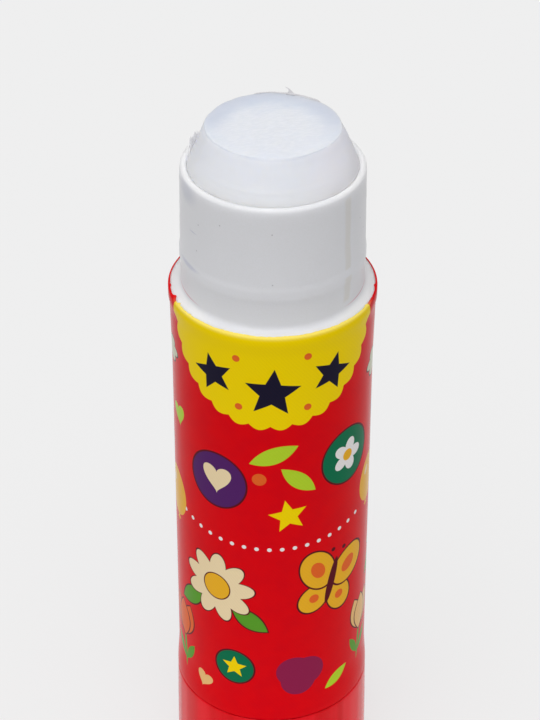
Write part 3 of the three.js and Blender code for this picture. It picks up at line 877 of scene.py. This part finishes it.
class Print:
    """Stamps motifs one over the other. Places and sizes are in mm on the rolled-out label."""

    def __init__(self, graph, across, up, ground):
        self.graph, self.across, self.up, self.ink = graph, across, up, ground

    def stamp(self, shape, at, half, fill, turn=0, points=0, depth=0, line=None, width=OUTLINE):
        half = half if isinstance(half, tuple) else (half, half)
        values = {
            "Below": self.ink,
            "Across": self.across,
            "Up": self.up,
            "At across": at[0],
            "At up": at[1],
            "Half width": half[0],
            "Half height": half[1],
            "Turn": radians(turn),
            "Points": points,
            "Depth": depth,
            "Fill": INKS[fill],
            "Line": INKS[line or fill],
            "Line width": width if line else 0,
        }
        node = self.graph.node("ShaderNodeGroup", values, node_tree=SHAPES[shape])
        self.ink = node.outputs["Ink"]

    def disc(self, at, half, fill, **more):
        self.stamp("petals", at, half, fill, **more)

    def around(self, at, x, y, scale, turn=0):
        """A point that lies x, y from a motif's middle, times its scale and turned with it."""
        spin = radians(turn)
        across = x * cos(spin) - y * sin(spin)
        up = x * sin(spin) + y * cos(spin)
        return (at[0] + across * scale, at[1] + up * scale)

    def badge(self, at, size, ground, shape, fill, share, **more):
        self.disc(at, size, ground, line="outline", width=0.3)
        self.stamp(shape, at, size * share, fill, **more)

    def daisy(self, at, size, petals="cream", heart="amber", turn=0):
        for side, lean in ((-1, 215), (1, -35)):
            spot = self.around(at, side * 0.86, -0.78, size)
            self.stamp("leaf", spot, (size * 0.55, size * 0.24), "leaf", turn=lean, line="outline")
        self.stamp("petals", at, size, petals, turn=turn, points=9, depth=0.34, line="outline")
        self.disc(at, size * 0.36, heart, line="outline", width=0.2)

    def butterfly(self, at, size, wings="amber", spots="orange", turn=0):
        for side in (-1, 1):
            low = self.around(at, side * 0.36, -0.46, size, turn)
            self.disc(low, (size * 0.34, size * 0.42), wings, turn=turn + side * 32, line="outline")
            high = self.around(at, side * 0.46, 0.34, size, turn)
            lean = turn - side * 38
            self.disc(high, (size * 0.42, size * 0.56), wings, turn=lean, line="outline")
            self.disc(high, (size * 0.17, size * 0.24), spots, turn=lean)
            self.disc(low, size * 0.12, spots)
            feeler = self.around(at, side * 0.17, 0.86, size, turn)
            self.disc(feeler, size * 0.055, "outline")
        self.disc(at, (size * 0.1, size * 0.62), "outline", turn=turn)

    def tulip(self, at, size, petals="orange", turn=0):
        def spot(x, y):
            return self.around(at, x, y, size, turn)

        self.disc(spot(0, -0.75), (size * 0.055, size * 0.8), "leaf", turn=turn)
        for side, lean in ((-1, 125), (1, 55)):
            half = (size * 0.42, size * 0.13)
            self.stamp("leaf", spot(side * 0.27, -1.0), half, "leaf", turn=turn + lean)
        for x, y, lean, long, wide in PETALS:
            half = (size * long, size * wide)
            self.stamp("leaf", spot(x, y), half, petals, turn=turn + lean, line="outline")

    def balloon(self, at, size, fill="amber", turn=0):
        knot = self.around(at, 0, -1.12, size, turn)
        self.stamp("star", knot, size * 0.17, fill, turn=turn + 36)
        self.disc(at, (size * 0.84, size), fill, turn=turn)
        shine = self.around(at, -0.3, 0.4, size, turn)
        self.disc(shine, (size * 0.12, size * 0.2), "cream", turn=turn - 30)

    def cloud(self, at, size):
        half = (size, size * 0.66)
        self.stamp("petals", at, half, "mist", points=6, depth=0.3, line="outline", width=0.22)

    def berries(self, at, size, turn=0):
        self.stamp("petals", at, size, "purple", turn=turn, points=3, depth=0.2)

    def dots(self, at, step, count, fill, size=0.33, bow=0):
        for index in range(count):
            share = index - (count - 1) / 2
            self.disc((at[0] + step * share, at[1] + bow * share * share), size, fill)


def print_label(graph, across, up, ground):
    art = Print(graph, across, up, ground)
    # the yellow field at the top, left bare but for three stars
    art.stamp("petals", (-0.3, 89.6), 17.7, "yellow", points=34, depth=0.04)
    for at, half, turn in (((-8.9, 80.2), 3.3, 14), ((0, 78.4), 4.2, -4), ((8.9, 80.4), 3.3, -17)):
        art.stamp("star", at, half, "navy", turn=turn)
    for at in ((-5.2, 83.9), (5.0, 84.3), (-4.9, 75.6), (5.1, 75.5)):
        art.disc(at, 0.55, "orange")
    # front
    art.cloud((-20.8, 78.5), 3.3)
    art.cloud((21.2, 76.0), 3.6)
    art.badge((12.4, 64.0), 4.7, "green", "petals", "white", share=0.62, points=5, depth=0.45)
    art.disc((12.4, 64.0), 0.95, "amber")
    art.badge((-8.6, 61.2), 4.7, "violet", "heart", "cream", share=0.52)
    art.stamp("leaf", (0.2, 67.3), (3.9, 1.4), "lime", turn=24)
    art.stamp("leaf", (3.9, 62.6), (3.5, 1.3), "lime", turn=-42)
    art.disc((-1.9, 63.0), 1.05, "orange")
    art.stamp("heart", (-17.4, 68.0), (1.9, 1.8), "lime", turn=12)
    art.stamp("star", (2.4, 56.2), 3.0, "yellow", turn=10)
    art.dots((-0.4, 50.0), 1.9, 17, "white", bow=0.028)
    art.butterfly((9.6, 41.8), 6.6, turn=-14)
    art.daisy((-8.9, 40.9), 6.3, turn=6)
    art.balloon((-19.2, 53.0), 4.2, turn=8)
    art.balloon((19.4, 55.5), 4.0, turn=-10)
    art.tulip((-17.2, 29.0), 5.6, turn=5)
    art.tulip((17.3, 30.2), 5.4, petals="sand", turn=-6)
    art.berries((4.4, 24.9), 4.0, turn=20)
    art.badge((-5.9, 26.0), 3.1, "green", "star", "yellow", share=0.66)
    art.stamp("leaf", (11.0, 21.6), (2.6, 1.0), "lime", turn=30)
    art.stamp("heart", (-11.6, 20.6), (1.6, 1.5), "sand", turn=-14)
    # right-hand side and the bare panel at the back
    art.daisy((25.6, 41.4), 4.6, petals="sand", heart="orange", turn=15)
    art.badge((25.2, 67.2), 4.0, "violet", "star", "yellow", share=0.7, turn=9)
    art.stamp("heart", (25.4, 21.8), (1.9, 1.8), "cream", turn=12)
    art.stamp("panel", (37.6, 51.0), (7.2, 28.5), "cream", depth=0.28, line="amber", width=0.7)
    # left-hand side and back
    art.butterfly((-28.6, 69.0), 6.0, wings="cream", spots="purple", turn=12)
    art.badge((-28.2, 43.4), 4.5, "green", "petals", "amber", share=0.6, points=6, depth=0.4)
    art.berries((-27.4, 24.0), 3.6, turn=-12)
    art.daisy((-38.0, 57.2), 5.6, turn=-8)
    art.tulip((-39.0, 34.2), 5.4, petals="amber", turn=-4)
    art.balloon((-38.6, 79.0), 4.1, fill="orange", turn=12)
    art.stamp("star", (-33.0, 21.4), 2.4, "yellow", turn=-12)
    art.stamp("leaf", (-42.4, 68.4), (2.6, 1.0), "lime", turn=52)
    return art.ink


# The film's ripples, how far below the shoulder it starts to lean in, and how strongly.
RIPPLE_HEIGHT = 0.025
LEAN_REACH = 1.8
LEAN_BOW = 0.09


def film_material():
    material, graph, place = new_material(
        "printed film",
        Roughness=0.2,
        Specular_IOR_Level=0.035,
        Sheen_Weight=0.06,
        Sheen_Roughness=0.25,
    )
    across, up, _ = graph.split(graph.unrolled(place, PRINT_R))
    mottle = graph.noise(place, 0.35, 3)
    ground = graph.mix(graph.fade(mottle, 0.35, 0.7), INKS["red"], linear(222, 0, 17))
    ink = print_label(graph, across, up, ground)
    # the fine slanting screen of the print
    rising = graph.times(up, SCREEN_PITCH[1])
    slant = graph.math("MULTIPLY_ADD", across, SCREEN_PITCH[0], rising)
    screen = graph.fade(graph.math("SINE", slant), -1, 1, 0, SCREEN_STRENGTH)
    ink = graph.mix(screen, ink, INKS["outline"])
    # painted highlight: the film is paled in front, along its top edge over the flange
    painted_front = graph.fade(graph.math("ABSOLUTE", across), 16, 18.5, 1, 0)
    highlight_at_edge = graph.fade(up, SHOULDER - 0.8, SHOULDER + 0.05, 0, 0.3)
    ink = graph.mix(graph.times(highlight_at_edge, painted_front), ink, linear(255, 252, 185))
    # it leans in gently before it turns over the edge
    above = graph.math("MAXIMUM", graph.minus(up, SHOULDER - LEAN_REACH), 0)
    sunk = graph.times(graph.times(above, above), -LEAN_BOW)
    ripples = graph.noise(place, 0.22, 2, stretch=(1, 1, 0.35))
    height = graph.math("MULTIPLY_ADD", ripples, RIPPLE_HEIGHT, sunk)
    return finish(material, ink, graph.bump(height, 1 * MM))


def knob_material():
    material, graph, place = new_material("red knob plastic", Specular_IOR_Level=0.11)
    bands = graph.noise(place, 0.32, 2, stretch=(1, 1, 0.03))
    colour = graph.mix(graph.fade(bands, 0.35, 0.65), linear(238, 14, 30), linear(219, 0, 14))
    rubbed = graph.noise(place, 0.9, 4, stretch=(1, 1, 3))
    roughness = graph.fade(rubbed, 0.35, 0.8, 0.13, 0.24)
    flow = graph.noise(place, 0.28, 1, stretch=(1, 1, 0.03))
    normal = graph.bump(flow, 0.3 * MM, 0.6)
    return finish(material, colour, normal, roughness)


# Marks on the neck: middle and half-size on the rolled-out side in mm, colour, strength.
NECK_MARKS_AND_SHADE = [
    ((-14.5, 94.4), (3.6, 0.55), (140, 146, 186), 0.34),
    ((-13.2, 100.35), (1.3, 0.13), (140, 146, 186), 0.32),
    # the last, a smudge at the left edge, is also painted shade that darkens that edge
    ((-15.2, 105.9), (3.8, 2.4), (150, 158, 182), 0.26),
]
# A faint dried run of glue at the right: its place, how far it strays, its fading ends, its gap.
RUN_ACROSS = 11.9
RUN_SWAY = 0.8
RUN_FOOT = (89.4, 90.2)
RUN_TOP = (106, 107)
RUN_GAP = 94.4


def neck_material():
    material, graph, place = new_material(
        "white barrel plastic",
        Specular_IOR_Level=0.22,
        Subsurface_Weight=1,
        Subsurface_Radius=(1, 1, 1),
        Subsurface_Scale=1.8 * MM,
    )
    flat = graph.unrolled(place, NECK_FOOT_R)
    across, up, _ = graph.split(flat)
    grain = graph.noise(place, 4.5, 1)
    white = graph.mix(graph.fade(grain, 0.25, 0.75), linear(238, 239, 244), linear(236, 237, 241))
    # marks, the last of which also paints shade on the neck's left edge
    for middle, half, rgb, strength in NECK_MARKS_AND_SHADE:
        x = graph.over(graph.minus(across, middle[0]), half[0])
        y = graph.over(graph.minus(up, middle[1]), half[1])
        mark_and_shade = graph.fade(graph.length(x, y), 0.2, 1, strength, 0)
        white = graph.mix(mark_and_shade, white, linear(*rgb))
    # painted light: the shoulder and the lip are paler at the sides, against the shade there
    aside = graph.math("ABSOLUTE", across)
    on_ledge = graph.fade(graph.apart(up, SHOULDER), 0.1, 0.5, 1, 0)
    on_either = graph.math("MAXIMUM", on_ledge, graph.fade(up, RIM - 0.4, RIM - 0.1))
    paled_against_shade = graph.times(on_either, graph.fade(aside, 6, 14))
    white = graph.mix(paled_against_shade, white, linear(250, 251, 255))
    # painted reflection: red from the film, in the corner round the neck's foot, at the sides
    sides = graph.times(graph.fade(aside, 11, 15), graph.fade(aside, 21, 23, 1, 0))
    red_reflection_in_corner = graph.fade(graph.apart(up, SHOULDER + NECK_FILLET), 0.04, 0.16, 0.5, 0)
    white = graph.mix(graph.times(sides, red_reflection_in_corner), white, linear(206, 92, 120))
    # the dried run
    sway = graph.times(graph.minus(graph.noise(place, 0.12, 2), 0.5), 2 * RUN_SWAY)
    beside = graph.apart(across, graph.math("ADD", sway, RUN_ACROSS))
    ends = graph.times(graph.fade(up, *RUN_FOOT), graph.fade(up, *RUN_TOP, 1, 0))
    broken = graph.times(ends, graph.fade(graph.apart(up, RUN_GAP), 0.4, 0.8))
    run = graph.times(graph.fade(beside, 0.3, 1, 0.3, 0), broken)
    white = graph.mix(run, white, linear(214, 206, 184))
    # a few specks of dust
    values = {"Vector": flat, "Scale": 0.17}
    cells = graph.node("ShaderNodeTexVoronoi", values, voronoi_dimensions="2D")
    rare = graph.math("GREATER_THAN", graph.split(cells.outputs["Color"])[0], 0.6)
    speck = graph.fade(cells.outputs["Distance"], 0.012, 0.024, 0.4, 0)
    white = graph.mix(graph.times(speck, rare), white, linear(120, 118, 124))
    roughness = graph.fade(grain, 0.25, 0.75, 0.28, 0.34)
    normal = graph.bump(grain, 0.003 * MM, 0.4)
    return finish(material, white, normal, roughness)


# The scraped part of the worn top: how far in front of the axis its middle is, and where it fades.
SCRAPED_FORWARD = 2.4
SCRAPED_FADE = (8.0, 13.5)
# Where the bevel meets the worn top, and the heights over which it first brightens and then dulls.
EDGE_LINE = GLUE_TOP - 0.17
BEVEL_BRIGHTENS = (107.5, 110.5)
BEVEL_DULLS = (111.2, 112.8)


def glue_material():
    """Translucent glue: bluish and smooth round its worn top, scraped white in the middle."""
    material, graph, place = new_material(
        "glue",
        Specular_IOR_Level=0.3,
        Subsurface_Weight=1,
        Subsurface_Radius=(1.0, 1.05, 1.15),
        Subsurface_Scale=2.2 * MM,
    )
    x, y, up = graph.split(place)
    on_top = graph.fade(up, GLUE_TOP - 0.2, GLUE_TOP - 0.05)
    from_middle = graph.length(graph.times(x, 0.95), graph.math("ADD", y, SCRAPED_FORWARD))
    turn = {"Vector": place, "Angle": -SWEEP_TILT}
    turned = graph.node("ShaderNodeVectorRotate", turn, rotation_type="Z_AXIS").outputs[0]
    patches = graph.noise(turned, 0.3, 3, stretch=(0.8, 1.3, 1))
    reach = graph.math("MULTIPLY_ADD", patches, 5, from_middle)
    worn = graph.fade(reach, *SCRAPED_FADE, 1, 0)
    fibres = graph.noise(turned, 1.8, 6, stretch=(0.6, 1.6, 1))
    streaks = graph.times(graph.fade(fibres, 0.4, 0.65), worn)
    top = graph.mix(worn, linear(205, 215, 229), linear(227, 230, 236))
    top = graph.mix(graph.times(streaks, 0.36), top, linear(241, 242, 246))
    # painted shade: the thin far rim is darkened bluish, where the room shows through
    from_axis = graph.length(x, graph.minus(y, GLUE_TOP_SHIFT))
    rim = graph.fade(from_axis, GLUE_TOP_R - 4.2, GLUE_TOP_R + 0.5)
    far_rim_shade = graph.times(rim, graph.fade(y, -4, 4))
    top = graph.mix(far_rim_shade, top, linear(189, 196, 213))
    # the bevel, with painted light making it palest just over the lip, against the shade at the
    # bore
    brighter = graph.fade(up, *BEVEL_BRIGHTENS)
    bevel = graph.mix(brighter, linear(234, 236, 240), linear(238, 240, 246))
    bevel = graph.mix(graph.fade(up, *BEVEL_DULLS), bevel, linear(233, 235, 241))
    paled_over_lip = graph.fade(up, BEVEL_FOOT, BEVEL_FOOT + 0.3, 0.8, 0)
    bevel = graph.mix(paled_over_lip, bevel, linear(248, 250, 255))
    bevel = graph.mix(graph.fade(x, 2.5, 9.5, 0, 0.3), bevel, linear(240, 233, 240))
    # painted shade: a broken dark line under the top's edge, at the sides
    from_edge = graph.apart(up, EDGE_LINE)
    broken = graph.fade(graph.noise(place, 0.3, 5), 0.4, 0.5)
    shade_line_at_sides = graph.fade(graph.math("ABSOLUTE", x), 1.6, 3.6)
    line = graph.times(graph.fade(from_edge, 0.03, 0.12, 0.36, 0), broken)
    bevel = graph.mix(graph.times(line, shade_line_at_sides), bevel, linear(170, 176, 198))
    colour = graph.mix(on_top, bevel, top)
    # painted shade: a band round the top's edge is toned greyer, against its highlight
    edge = graph.fade(from_edge, 0.1, 0.4, 0.4, 0)
    colour = graph.mix(edge, colour, linear(228, 231, 238))
    # painted shade: the rubbed edge in front, which faces the light, is darkened against its
    # highlight
    painted_front = graph.fade(y, -8.6, -7.2, 1, 0)
    rubbed = graph.times(painted_front, graph.fade(from_edge, 0.1, 0.4, 0.3, 0))
    colour = graph.mix(rubbed, colour, linear(208, 212, 222))
    grain = graph.noise(turned, 2.0, 5, stretch=(0.6, 1.5, 1))
    rough_top = graph.times(graph.times(grain, on_top), worn)
    height = graph.math("MULTIPLY_ADD", graph.noise(place, 0.45, 2), 0.5, rough_top)
    roughness = graph.fade(fibres, 0.3, 0.8, 0.42, 0.6)
    normal = graph.bump(height, 0.16 * MM, 0.6)
    return finish(material, colour, normal, roughness)


def darker(rgb, share):
    return linear(*[channel * share for channel in rgb])


def torn_glue_material(name, rgb):
    """Thin dried flakes, duller than the glue they stand on."""
    material, graph, place = new_material(name, Specular_IOR_Level=0.3)
    fibres = graph.noise(place, 1.6, 3, stretch=(1, 1, 0.4))
    colour = graph.mix(graph.fade(fibres, 0.3, 0.7), linear(*rgb), darker(rgb, 0.95))
    roughness = graph.fade(fibres, 0.3, 0.8, 0.45, 0.65)
    normal = graph.bump(fibres, 0.05 * MM, 0.5)
    return finish(material, colour, normal, roughness)


def hidden_plastic(name, rgb, roughest, smoothest, stretch=(1, 1, 1)):
    """Plain moulded plastic with faint flow marks."""
    material, graph, place = new_material(name)
    marks = graph.noise(place, 0.4, 3, stretch=stretch)
    colour = graph.mix(graph.fade(marks, 0.3, 0.75), linear(*rgb), darker(rgb, 0.93))
    roughness = graph.fade(marks, 0.3, 0.75, smoothest, roughest)
    normal = graph.bump(marks, 0.03 * MM, 0.4)
    return finish(material, colour, normal, roughness)


def dress(piece, material):
    piece.data.materials.clear()
    piece.data.materials.append(material)
    return piece


def stand_in(piece, material, body, slot, *nodes):
    """Gives a new piece its material and body, and hides the nodes that it stands for. slot is not
    used.
    """
    dress(piece, material)
    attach(piece, body)
    if nodes:
        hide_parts(*nodes)


stand_in(make_barrel(), neck_material(), "housing", "barrel_white", "inner_barrel")
stand_in(make_film(), film_material(), "housing", "label_film", "printed_label")
stand_in(make_knob(), knob_material(), "drive", "knob_red", "twist_knob")
stand_in(make_glue(), glue_material(), "lift", "glue", "glue_plug")
# the same torn glue twice: painted paler at the side, which stands in shade, and painted darker at
# the back, which the light from above falls on
side_paled_for_shade = torn_glue_material("torn glue at the side painted paler", (247, 246, 247))
back_darkened_for_light = torn_glue_material("torn glue at the back painted darker", (210, 209, 212))
stand_in(make_side_burr(), side_paled_for_shade, "lift", "glue")
for piece in (make_back_burr(), make_flake()):
    stand_in(piece, back_darkened_for_light, "lift", "glue")

nodes = frame["nodes"]
extruded = hidden_plastic("sleeve plastic", (222, 222, 224), 0.55, 0.4, stretch=(1, 1, 0.1))
dress(nodes["outer_sleeve"], extruded)
dress(nodes["lift_screw"], hidden_plastic("screw plastic", (226, 226, 223), 0.58, 0.42))
dress(nodes["glue_carrier"], hidden_plastic("carrier plastic", (228, 228, 225), 0.58, 0.42))

bpy.context.scene.view_settings.view_transform = "Standard"
